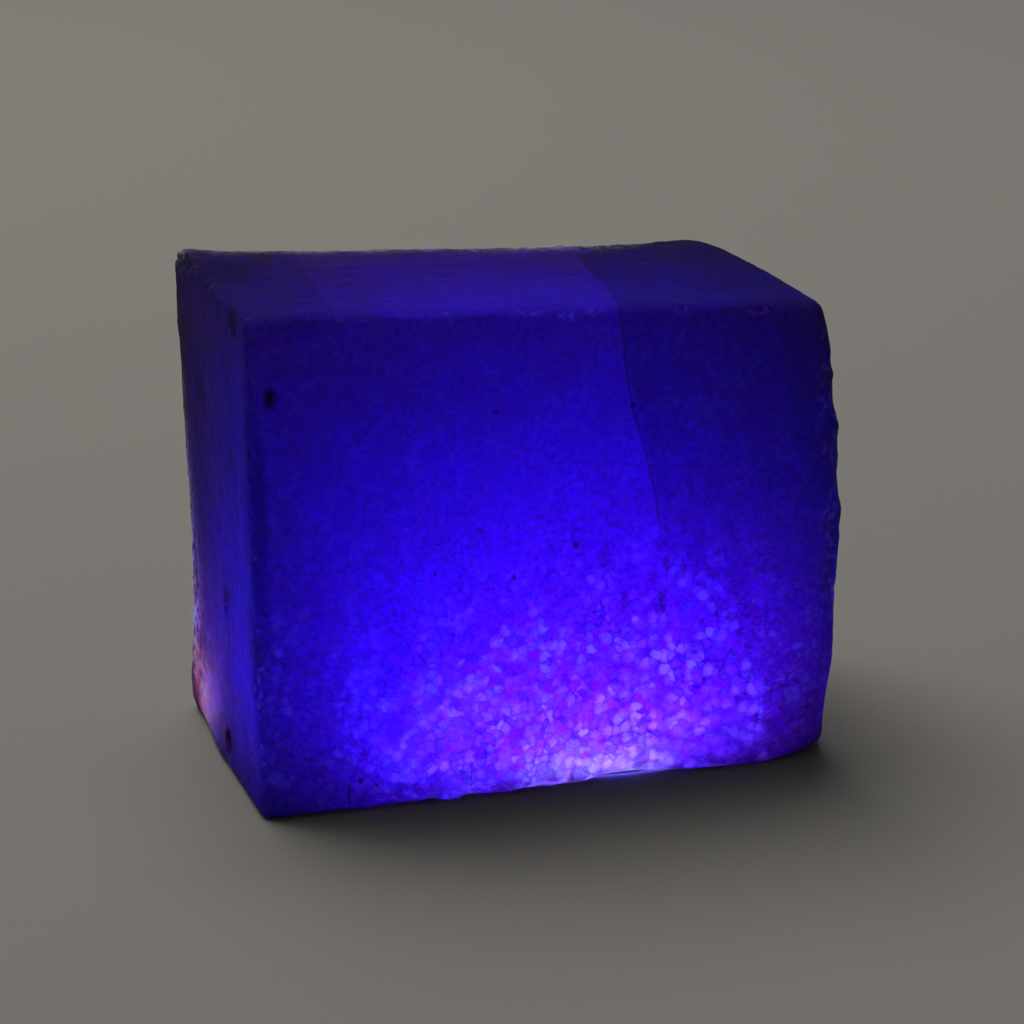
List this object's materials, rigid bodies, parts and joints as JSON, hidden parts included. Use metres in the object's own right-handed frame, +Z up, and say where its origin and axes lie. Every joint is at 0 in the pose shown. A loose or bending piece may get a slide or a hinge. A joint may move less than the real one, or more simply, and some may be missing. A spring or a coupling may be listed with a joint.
{
  "type": "rough blue sapphire",
  "caption": "Solid rough stone block with sawn faces, chipped rounded edges and a flat underside that it stands on.",
  "frame": {"origin": "middle of the block's footprint, on the surface that it stands on", "axes": "+X along the wide front face to its right end, +Y from the front face to the back, +Z up"},
  "size_m": [0.0486, 0.0286, 0.0395],
  "materials": {
    "sapphire": "sawn, slightly waxy, translucent violet-blue"
  },
  "bodies": {
    "root": {"sapphire_block": "sapphire"}
  },
  "joints": []
}
